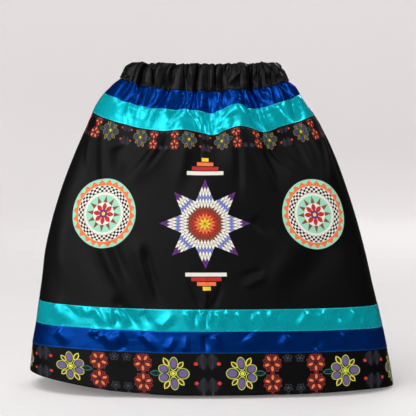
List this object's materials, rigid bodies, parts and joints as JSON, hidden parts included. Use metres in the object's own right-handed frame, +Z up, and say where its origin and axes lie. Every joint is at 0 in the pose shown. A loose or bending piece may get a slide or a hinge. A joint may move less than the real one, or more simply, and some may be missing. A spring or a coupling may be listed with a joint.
{
  "type": "ribbon skirt",
  "caption": "Elastic-waist A-line ribbon skirt of printed black satin with blue and turquoise ribbons at waist and hem, hollow as worn, held at the waist.",
  "frame": {"origin": "centre of the waist, half way up the elastic waistband, where the wearer holds the skirt up", "axes": "+Z up along the body, -Y out of the front, +X to the wearer's left"},
  "size_m": [0.8501, 0.3582, 0.7508],
  "materials": {
    "black_satin": "heavy black satin with printed floral borders, soft low sheen",
    "band_satin": "black satin casing gathered on elastic, nearly matt",
    "blue_satin": "royal blue satin ribbon, glossy, lightly creased",
    "turquoise_satin": "turquoise satin ribbon, glossy, lightly creased"
  },
  "bodies": {
    "root": {"front_panel": "black_satin", "front_waistband": "band_satin", "front_upper_blue_ribbon": "blue_satin", "front_upper_turquoise_ribbon": "turquoise_satin", "front_lower_turquoise_ribbon": "turquoise_satin", "front_lower_blue_ribbon": "blue_satin", "back_panel": "black_satin", "back_waistband": "band_satin", "back_upper_blue_ribbon": "blue_satin", "back_upper_turquoise_ribbon": "turquoise_satin", "back_lower_turquoise_ribbon": "turquoise_satin", "back_lower_blue_ribbon": "blue_satin"}
  },
  "joints": []
}
